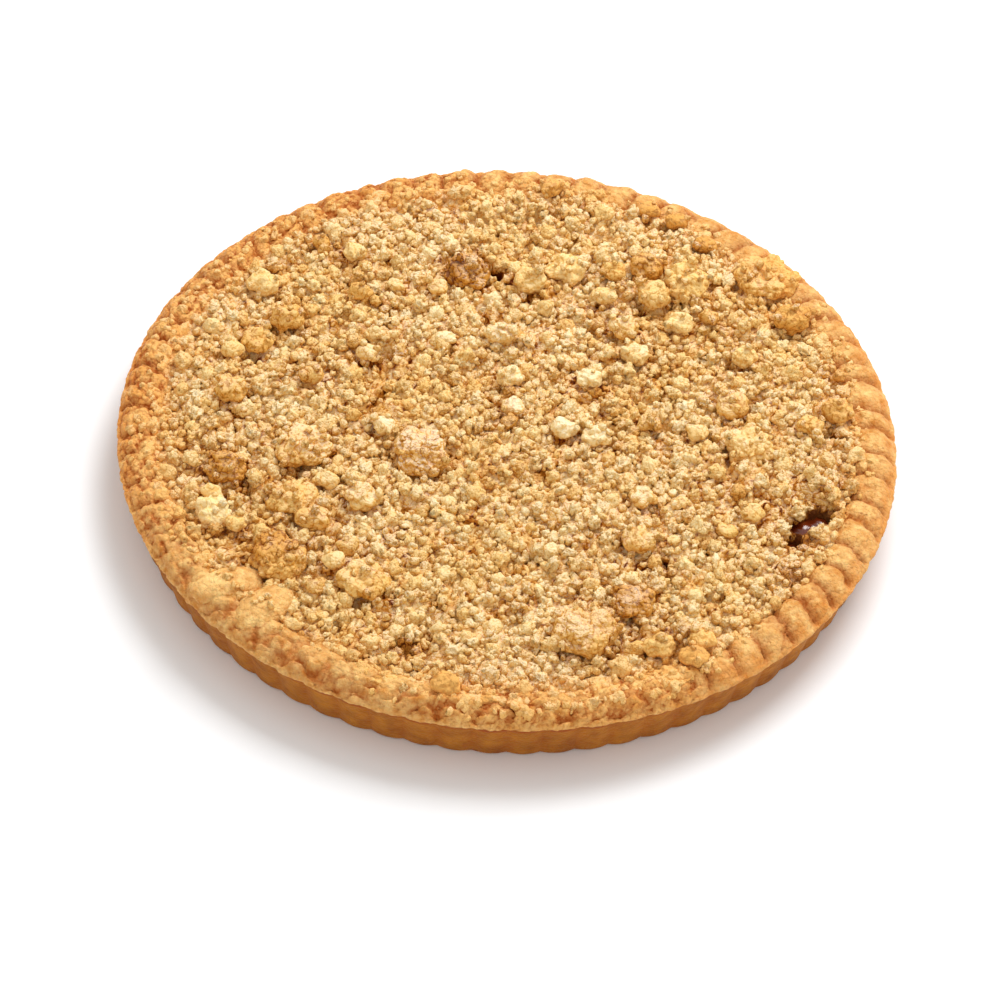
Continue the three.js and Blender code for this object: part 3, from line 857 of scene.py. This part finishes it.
# ---------------------------------------------------------------------------------------------
# Clumps. Where the butter was coldest the crumb baked into lumps as large as berries. Each sits
# half sunk in the bed and takes its place and size from its own node of the model. The lesser
# lumps are one piece together, at places given.
# ---------------------------------------------------------------------------------------------
WIDE_CLUMP = 17              # from this width on a clump has a finer mesh
WIDE_NUGGET = 8.5
MOAT_DEPTH = 1.1             # how much lower the bed lies round a lump
CLUMP_LOOKS = [              # tone, and dusting of sugar on top that is partly a painted highlight
    (0.62, 1.0), (0.52, 0.9), (0.46, 0.6), (0.58, 0.7), (0.55, 0.7), (0.60, 0.6), (0.66, 0.8), (0.42, 0.8),
    (0.60, 0.6), (0.76, 0.3), (0.92, 0.2), (0.55, 1.0), (0.76, 0.3), (0.46, 0.6),
]
NUGGETS = [                  # x, y, size, tone
    (4, 71, 11, 0.8), (45, 80, 11.5, 0.3), (48, 66, 12, 0.5), (33, 78, 9, 0.5), (31, 66, 8, 0.8),
    (96, 60, 13, 0.3), (67, 58, 7, 0.6), (112, 16, 11, 0.35), (103, 8, 9, 0.7), (76, 16, 11, 0.4),
    (80, 40, 9, 0.85), (38, 50, 11, 0.6), (57, 54, 9, 0.8), (42, 37, 10, 0.7), (27, 24, 9, 0.9),
    (1, 7, 8, 0.6), (48, 5, 8, 0.5), (64, 2, 8, 0.8), (-88, 62, 11, 0.9), (-57, 79, 8, 0.8),
    (-69, 84, 6, 0.2), (-54, 60, 8, 0.25), (-42, 65, 6, 0.8), (-27, 64, 7, 0.5), (-78, 45, 11.5, 0.4),
    (-88, 33, 11, 0.5), (-96, 28, 8, 0.8), (-50, 31, 8, 0.6), (-23, 39, 7, 0.8), (-5, 43, 10, 0.5),
    (0, 22, 9, 0.6), (-68, 18, 8, 0.4), (-95, 7, 11.5, 0.4), (-89, -53, 7, 0.9), (-98, -39, 7, 0.9),
    (-63, -50, 11, 0.35), (-47, -40, 11.5, 0.5), (-60, -32, 8, 0.7), (-55, -69, 8, 0.8),
    (-42, -4, 8, 0.7), (-15, -120, 10, 0.1), (19, -2, 9, 0.85), (30, -4, 10, 0.8), (84, -34, 8, 0.8),
    (47, -31, 9, 0.5), (46, -51, 11, 0.5), (75, -44, 7, 0.7), (54, -97, 10, 0.6), (68, -94, 9, 0.6),
    (66, -101, 10, 0.15), (10, 118, 8, 0.1), (45, 111, 8, 0.15), (55, 106, 8, 0.2), (65, 95, 8, 0.2),
]


def clump_tree(material):
    """Makes a ball a knobbly lump of a given place and size, and stores its tone, with painted
    light and shade in it, and its dusting, partly a painted highlight.
    """
    tree, given, made, point = geometry_tree("bake_clump")
    middle, size, seed, tone, dust_and_highlight = add_inputs(
        tree, given, Middle=Vector(), Size=Vector(), Seed=0.0, Tone=0.5, Dust=0.5)
    way = vector_math("NORMALIZE", point)
    span = vector_math("MULTIPLY", way, size)
    own_place = join(tree, seed * 31, seed * 17, seed * 7)
    here = vector_math("ADD", vector_math("SCALE", span, factor=0.5), own_place)
    wide = split(size)[0] / 18
    broad = vector_math("DIVIDE", here, join(tree, wide, wide, wide))
    bulge = wide * (2.8 * cloud(broad, 9.0, 1.0) + 1.5 * (grains(drifted(broad, 6.0, 1.2), 6.5) - 0.5))
    granular = fade(split(way)[2], -0.2, 0.5, 0.4, 1.0) * fade(cloud(here, 7.0, 1.0), -0.4, 0.2, 0.5, 1.0)
    popped = grains(drifted(here, 2.4, 1.0), 2.5).math("MAXIMUM", -0.3)
    bulge = bulge + granular * (popped - 0.5) * (1.5 * wide).math("MINIMUM", 1.3)
    shape = vector_math("MULTIPLY", span, (0.5, 0.5, 0.45))
    knobbly = vector_math("ADD", shape, vector_math("SCALE", way, factor=bulge))
    lump = move_to(tree, given.outputs["Geometry"], vector_math("ADD", knobbly, middle))
    # painted light: paler on the top and darker down the sides; painted shade in the gaps between its
    # grains
    shade = tone + 0.12 * cloud(here, 5.0, 1.0) + fade(split(way)[2], -0.1, 0.7, -0.16, 0.06)
    lump = store(tree, lump, "tone", shade - fade(popped, 0.3, -0.2) * granular * 0.12)
    # sugar dusted thicker towards the top, partly a painted highlight there
    lump = store(tree, lump, "dust_and_highlight", dust_and_highlight * fade(split(way)[2], 0.15, 0.6, 0.2, 1.0))
    close_tree(tree, lump, made, material)
    return tree


CLUMP_TREE = clump_tree(crumb_material("clump_crumb", 1.4, 0.34))
clumps = []
lumps = []                   # x, y and width of every lump, large or small
for number, (tone, dust_and_highlight) in enumerate(CLUMP_LOOKS):
    node = f"clump_{number + 1:02d}"
    low, high = (Vector(corner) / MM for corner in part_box(node))
    middle = (low + high) / 2
    size = high - low
    base = ball(6 if max(size.x, size.y) > WIDE_CLUMP else 5)
    piece = grow("baked_" + node, base, CLUMP_TREE, Middle=middle, Size=size, Seed=float(number),
                 Tone=tone, Dust=dust_and_highlight)
    clumps.append(piece)
    lumps.append((middle.x, middle.y, (size.x + size.y) / 2))
    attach(piece, "root")
    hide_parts(node)

nuggets = []
for number, (x, y, size, tone) in enumerate(NUGGETS):
    span = Vector((size * 1.05, size * 0.9, size * 0.8))
    middle = Vector((x, y, topping_level(x, y) + 0.15 * size))
    base = ball(4 if size > WIDE_NUGGET else 3)
    nuggets.append(grow("nugget", base, CLUMP_TREE, Middle=middle, Size=span, Seed=number + 20.0,
                        Tone=0.41 + 0.41 * tone, Dust=0.55))
    lumps.append((x, y, size))
nugget_piece = one_piece("crumb_nuggets", nuggets)
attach(nugget_piece, "root")


def set_values(mesh, name, values):
    """Stores one number for each point of a mesh."""
    if name not in mesh.attributes:
        mesh.attributes.new(name, "FLOAT", "POINT")
    mesh.attributes[name].data.foreach_set("value", values)


def values_of(mesh, name):
    """The numbers stored for the points of a mesh."""
    values = np.empty(len(mesh.vertices))
    mesh.attributes[name].data.foreach_get("value", values)
    return values


def points_of(mesh):
    """The x, y and z of a mesh's points in mm, as three rows."""
    flat = np.empty(len(mesh.vertices) * 3)
    mesh.vertices.foreach_get("co", flat)
    return flat.reshape(-1, 3).T / MM


def sink_round_lumps(mesh, lumps):
    """Leaves the bed a little lower round each lump with a painted shadow, and strews nothing under it."""
    x, y, z = points_of(mesh)
    away = np.min([np.hypot(x - lump_x, y - lump_y) - width / 2 for lump_x, lump_y, width in lumps], axis=0)
    moat = np.exp(-((away - 0.5) / 1.3) ** 2) * (z > TOPPING_HEIGHT - 6) * (np.hypot(x, y) < 111)
    # painted shadow: a darker ring round the foot of each lump
    set_values(mesh, "tone", values_of(mesh, "tone") - 0.17 * moat)
    clear = np.clip((away + 2.6) / 1.5, 0.0, 1.0)
    set_values(mesh, "strewn", values_of(mesh, "strewn") * clear * (1 - 0.4 * moat))
    lowered = np.stack([x, y, z - MOAT_DEPTH * moat]).T * MM
    mesh.vertices.foreach_set("co", lowered.ravel())


for half in bed:
    sink_round_lumps(half.data, lumps)

# ---------------------------------------------------------------------------------------------
# Crumb topping, the loose grains. Thousands of crumbs from the size of a mustard seed to that of
# a pea lie on the bed, the clumps and the rim, each turned its own way and baked its own shade.
# Geometry Nodes scatter each kind from ten or sixteen uneven crumbs.
# ---------------------------------------------------------------------------------------------
STREWN_ABOVE = 19.0          # no loose grain lies lower than this,
STREWN_BELOW = 31.5          # nor on a lump higher than this
STREWN_SLOPE = 0.05          # upward part of a face's normal, so that none lies on the bed's skirt
FULL_TURN = 6.28             # radians
DENSEST = 3.0e6              # spots tried on a square metre
RIM_STREWN = [               # on the rim: bearing, half width, its edge, share, radius, its edge
    (279, 27, 16, 1.0, 131.0, 3.5),
    (225, 40, 10, 0.8, 124.0, 4.0),
    (160, 40, 20, 0.8, 129.5, 5.0),
    (95, 40, 20, 0.4, 128.5, 8.0),
    (24, 9, 8, 0.7, 128.0, 4.0),
]
KINDS = [                    # name; shapes, subdivisions, knobs, depth; spacing, least and most size,
                             # share that stands proud, spread of tone, dust and painted highlight, how
                             # strictly strewn
    ("crumb_fine", (10, 2, 1.5, 0.62), (4.15, 1.8, 2.6, 0.30, 0.07, 0.3, 1.0)),
    ("crumb_grain", (10, 2, 1.5, 0.62), (4.10, 2.2, 3.1, 0.28, 0.08, 0.4, 1.2)),
    ("crumb_small", (10, 2, 1.5, 0.60), (3.98, 2.7, 3.8, 0.25, 0.09, 0.5, 1.5)),
    ("crumb_cluster", (16, 3, 1.9, 0.65), (7.4, 3.8, 5.8, 0.15, 0.08, 0.5, 2.0)),
    ("crumb_lump", (16, 3, 1.4, 0.45), (10.2, 4.6, 7.4, 0.10, 0.12, 0.3, 2.0)),
]


def crumb_shapes(name, count, subdivisions, knobs, depth, seed):
    """A collection of uneven crumbs about one unit across: balls of knobs grown together."""
    shapes = bpy.data.collections.new(name)
    for i in range(count):
        work = bmesh.new()
        bmesh.ops.create_icosphere(work, subdivisions=subdivisions, radius=0.5)
        offset = Vector((seed * 7.3 + i * 3.1, i * 1.7, seed))
        stretch = Vector((1.0, 0.72 + 0.12 * (i % 3), 0.66 + 0.07 * (i % 4)))
        for vert in work.verts:
            way = vert.co.normalized()
            knob = 0.5 - 1.6 * noise.voronoi(way * knobs + offset)[0][0] ** 2
            knob = knob + 0.7 * noise.noise(way * knobs * 1.1 - offset)
            knob = knob + 0.4 * noise.noise(way * 3.4 + offset)
            vert.co = way * 0.5 * (1 + depth * min(knob, 0.9)) * stretch
        mesh = bpy.data.meshes.new(f"{name}_{i}")
        work.to_mesh(mesh)
        work.free()
        shapes.objects.link(bpy.data.objects.new(f"{name}_{i}", mesh))
    return shapes


def random_value(tree, kind, low, high, seed):
    """A random FLOAT or FLOAT_VECTOR between low and high for each point."""
    node = tree.nodes.new("FunctionNodeRandomValue")
    node.data_type = kind
    first = {"FLOAT_VECTOR": 0, "FLOAT": 2}[kind]
    plug(tree, low, node.inputs[first])
    plug(tree, high, node.inputs[first + 1])
    plug(tree, seed, node.inputs["Seed"])
    return Field(tree, node.outputs[first // 2])


def named(tree, name):
    """A number stored on the mesh, for Geometry Nodes."""
    node = tree.nodes.new("GeometryNodeInputNamedAttribute")
    node.inputs["Name"].default_value = name
    return Field(tree, node.outputs["Attribute"])


def scatter_tree(name, shapes, material):
    """Scatters a collection's crumbs over a surface, each turned, sized and toned at random."""
    tree, given, made, point = geometry_tree(name)
    spacing, smallest, largest, proud, spread, dust_and_highlight, fussy, seed = add_inputs(
        tree, given, Spacing=1.0, Smallest=1.0, Largest=2.0, Proud=0.1, Tone_Spread=0.3, Dust=0.3,
        Fussy=1.0, Seed=1)
    spots = chain(tree, given.outputs["Geometry"], "GeometryNodeDistributePointsOnFaces")
    spots.distribute_method = "POISSON"
    plug(tree, spacing * MM, spots.inputs["Distance Min"])
    spots.inputs["Density Max"].default_value = DENSEST
    plug(tree, seed, spots.inputs["Seed"])
    above = split(point)[2].math("GREATER_THAN", STREWN_ABOVE)
    plug(tree, above * named(tree, "strewn") ** fussy, spots.inputs["Density Factor"])
    facing_up = split(Field(tree, tree.nodes.new("GeometryNodeInputNormal").outputs[0]))[2]
    plug(tree, facing_up.math("GREATER_THAN", STREWN_SLOPE), spots.inputs["Selection"])

    size = random_value(tree, "FLOAT", 0.0, 1.0, seed + 11) ** 1.3
    size = smallest + (largest - smallest) * size
    sunk = fade(polar(point)[1], HOLLOW_RADIUS, HOLLOW_RADIUS + 3.5, 0.0, 0.32)
    offset = vector_math("SCALE", Field(tree, spots.outputs["Normal"]), factor=size * (proud - sunk) * MM)
    lifted = chain(tree, spots.outputs["Points"], "GeometryNodeSetPosition")
    plug(tree, offset, lifted.inputs["Offset"])
    source = tree.nodes.new("GeometryNodeCollectionInfo")
    source.inputs["Collection"].default_value = shapes
    source.inputs["Separate Children"].default_value = True
    placed = chain(tree, lifted.outputs[0], "GeometryNodeInstanceOnPoints")
    tree.links.new(source.outputs[0], placed.inputs["Instance"])
    placed.inputs["Pick Instance"].default_value = True
    turn = random_value(tree, "FLOAT_VECTOR", (0, 0, 0), (FULL_TURN, FULL_TURN, FULL_TURN), seed + 12)
    plug(tree, turn, placed.inputs["Rotation"])
    plug(tree, size * MM, placed.inputs["Scale"])
    shade = named(tree, "tone") + random_value(tree, "FLOAT", -1.0, 1.0, seed + 13) * spread
    strewn = store(tree, placed.outputs[0], "tone", shade, domain="INSTANCE")
    # each crumb's sugar dusting, partly a painted highlight on its top
    strewn = store(tree, strewn, "dust_and_highlight", dust_and_highlight, domain="INSTANCE")
    close_tree(tree, strewn, made, material)
    return tree


def bearing_share(bearing, middle, half, edge):
    """1 within half of the middle bearing and 0 beyond, with an edge between, for numbers."""
    away = np.abs((bearing - middle + 180) % 360 - 180)
    return np.clip((half + edge / 2 - away) / edge, 0, 1)


def rim_share(mesh):
    """The rim is strewn thickly along the front, the left and the back, and hardly elsewhere."""
    x, y, z = points_of(mesh)
    radius = np.hypot(x, y)
    bearing = np.degrees(np.arctan2(y, x)) % 360
    shares = [bearing_share(bearing, middle, half, edge) * most * np.clip((outer - radius) / soft, 0, 1)
              for middle, half, edge, most, outer, soft in RIM_STREWN]
    patches = np.sin(np.radians(bearing * 7) + 1) + np.sin(np.radians(bearing * 17) + 3)
    shares.append((0.5 + 0.3 * patches) * np.clip((124 + patches - radius) / 4, 0, 1))
    share = np.maximum.reduce(shares)
    return np.clip(share, 0, 1) * (radius > 116) * (radius < 131.2) * (z > 21)


set_values(crust.data, "strewn", rim_share(crust.data))
set_values(crust.data, "tone", np.full(len(crust.data.vertices), 0.62))
for piece in (*clumps, nugget_piece):
    height = points_of(piece.data)[2]
    set_values(piece.data, "strewn", (0.35 if piece == nugget_piece else 0.4) * (height < STREWN_BELOW))
ground = merged("ground", [*bed, crust, nugget_piece, *clumps])

LOOSE = crumb_material("loose_crumb", 0.9, 0.28)
for number, (name, shape, scatter) in enumerate(KINDS):
    spacing, small, large, proud, spread, dust_and_highlight, fussy = scatter
    tree = scatter_tree(name + "_strewn", crumb_shapes(name + "_shapes", *shape, number + 1), LOOSE)
    piece = grow(name, ground.copy(), tree, Spacing=spacing, Smallest=small, Largest=large, Proud=proud,
                 Tone_Spread=spread, Dust=dust_and_highlight, Fussy=fussy, Seed=number * 10 + 3)
    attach(piece, "root")

# ---------------------------------------------------------------------------------------------
# Studio. A plain pale floor and an even bright surround, as in a shop's picture, with one broad
# soft light from behind on the right. The camera looks down on the pie's front with a long lens.
# ---------------------------------------------------------------------------------------------
FLOOR_HALF_WIDTH = 3000
scene = bpy.context.scene
scene.view_settings.view_transform = "Standard"
scene.view_settings.look = "None"

world = bpy.data.worlds.new("studio")
scene.world = world
world.use_nodes = True
world.node_tree.nodes["Background"].inputs["Color"].default_value = (1.0, 0.98, 0.94, 1.0)
world.node_tree.nodes["Background"].inputs["Strength"].default_value = 0.84

floor = bpy.data.objects.new("floor", flat_grid(FLOOR_HALF_WIDTH, FLOOR_HALF_WIDTH / 2))
floor.data.materials.append(bpy.data.materials.new("pale_floor"))
floor.data.materials[0].use_nodes = True
floor_shader = floor.data.materials[0].node_tree.nodes["Principled BSDF"]
floor_shader.inputs["Base Color"].default_value = (0.90, 0.915, 0.94, 1.0)
floor_shader.inputs["Roughness"].default_value = 0.9
scene.collection.objects.link(floor)


def soft_light(name, place, size, power):
    """A square light that faces the pie."""
    data = bpy.data.lights.new(name, "AREA")
    data.size = size
    data.energy = power
    light = bpy.data.objects.new(name, data)
    light.location = place
    light.rotation_euler = (-Vector(place)).to_track_quat("-Z", "Y").to_euler()
    scene.collection.objects.link(light)


soft_light("key", (0.40, 0.75, 1.25), 0.8, 17.0)

CAMERA_ELEVATION = math.radians(46.94)
CAMERA_ROLL = math.radians(3.51)     # the photo's right side hangs a little low
CAMERA_DISTANCE = 2.16
CAMERA_TARGET = Vector((-0.00128, -0.01056, 0.0))
camera_data = bpy.data.cameras.new("camera")
camera_data.lens = 227.4
camera_data.sensor_width = 36.0
camera = bpy.data.objects.new("camera", camera_data)
back = Vector((0, -math.cos(CAMERA_ELEVATION), math.sin(CAMERA_ELEVATION)))
level_up = Vector((0, math.sin(CAMERA_ELEVATION), math.cos(CAMERA_ELEVATION)))
right = Vector((1, 0, 0)) * math.cos(CAMERA_ROLL) + level_up * math.sin(CAMERA_ROLL)
camera.location = CAMERA_TARGET + back * CAMERA_DISTANCE
camera.rotation_euler = (-back).to_track_quat("-Z", "Y").to_euler()
camera.rotation_euler.rotate_axis("Z", CAMERA_ROLL)
camera_data.clip_end = 20.0
scene.collection.objects.link(camera)
scene.camera = camera
